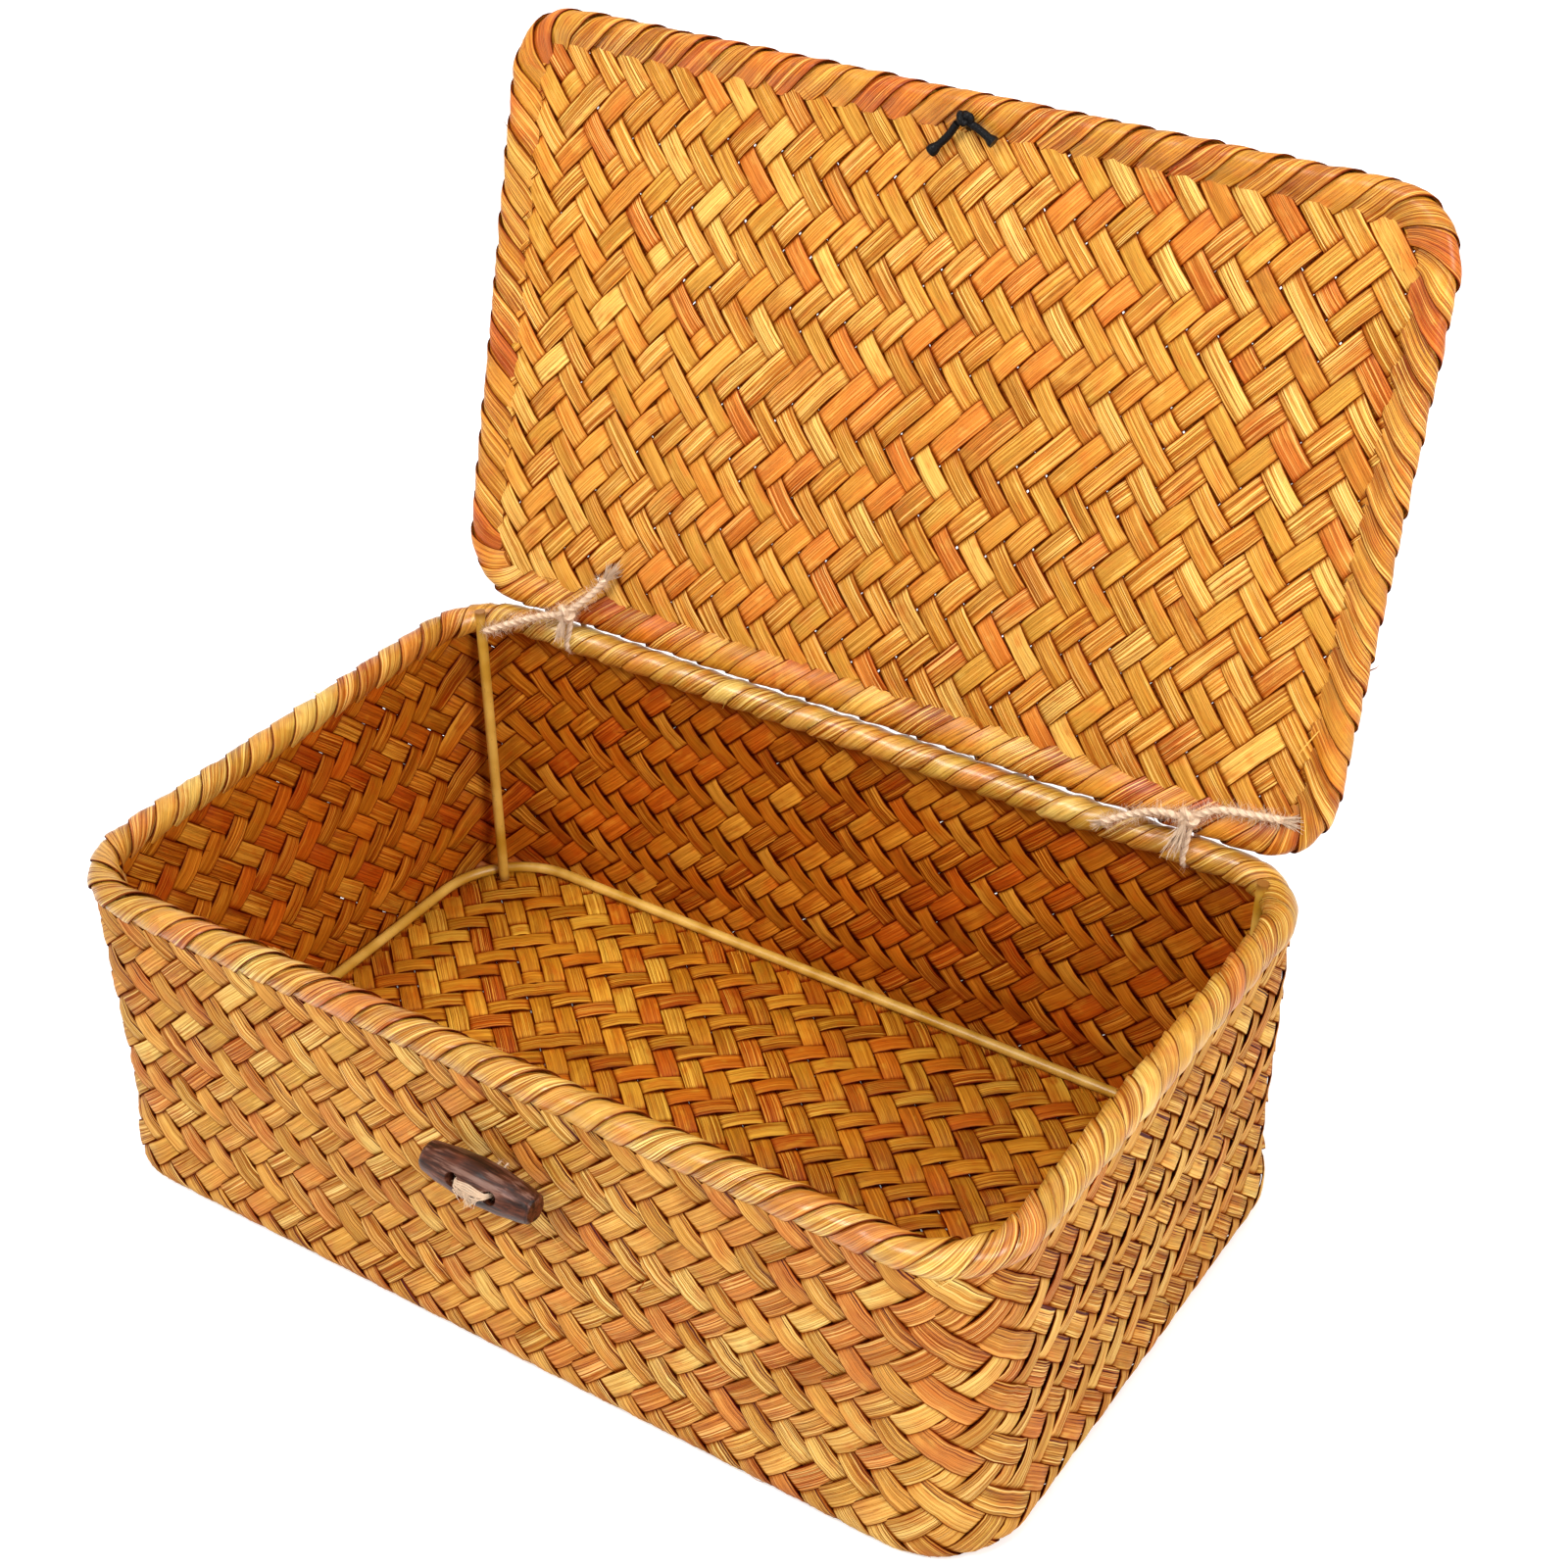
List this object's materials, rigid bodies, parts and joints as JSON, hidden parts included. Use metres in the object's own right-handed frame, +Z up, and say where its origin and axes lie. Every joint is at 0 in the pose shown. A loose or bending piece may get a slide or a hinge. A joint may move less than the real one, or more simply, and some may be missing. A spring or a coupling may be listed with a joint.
{
  "type": "woven lidded box",
  "caption": "Rectangular woven basket box with a flat lid tied on with twine, a wire frame, a toggle and an elastic loop.",
  "frame": {"origin": "under the middle of the base, on the surface that the box stands on", "axes": "+Z up, +X along the long side to the right of the toggle, +Y from the toggle's side to the lid's hinge"},
  "size_m": [0.31, 0.2598, 0.2947],
  "materials": {
    "weave": "satin",
    "frame_wire": "satin",
    "twine": "matte",
    "toggle": "satin",
    "elastic": "matte"
  },
  "bodies": {
    "basket": {"basket_weave": "weave", "rim_roll": "weave", "rim_wire": "frame_wire", "base_wire": "frame_wire", "post_front_left": "frame_wire", "post_front_right": "frame_wire", "post_back_left": "frame_wire", "post_back_right": "frame_wire", "tie_left_loop": "twine", "tie_left_knot": "twine", "tie_left_tail_left": "twine", "tie_left_tail_right": "twine", "tie_right_loop": "twine", "tie_right_knot": "twine", "tie_right_tail_left": "twine", "tie_right_tail_right": "twine"},
    "lid": {"lid_weave": "weave", "lid_roll": "weave", "lid_wire": "frame_wire", "elastic_knot": "elastic", "elastic_end_left": "elastic", "elastic_end_right": "elastic"},
    "toggle": {"toggle": "toggle", "toggle_stitch": "twine"},
    "elastic": {"elastic_loop": "elastic"}
  },
  "joints": [
    {"name": "lid_hinge", "type": "hinge", "parent": "basket", "child": "lid", "pos_m": [0, 0.094, 0.1139], "axis": [1, 0, 0], "range_deg": [0, 105], "deforming": ["tie_left_knot", "tie_left_tail_left", "tie_left_tail_right", "tie_right_knot", "tie_right_tail_left", "tie_right_tail_right"]},
    {"name": "toggle_turn", "type": "hinge", "parent": "basket", "child": "toggle", "pos_m": [0.0084, -0.1047, 0.076], "axis": [0, 1, 0], "range_deg": [-30, 30]},
    {"name": "elastic_swing", "type": "hinge", "parent": "lid", "child": "elastic", "pos_m": [0.0074, 0.14136, 0.29066], "axis": [1, 0, 0], "range_deg": [0, 190]}
  ]
}
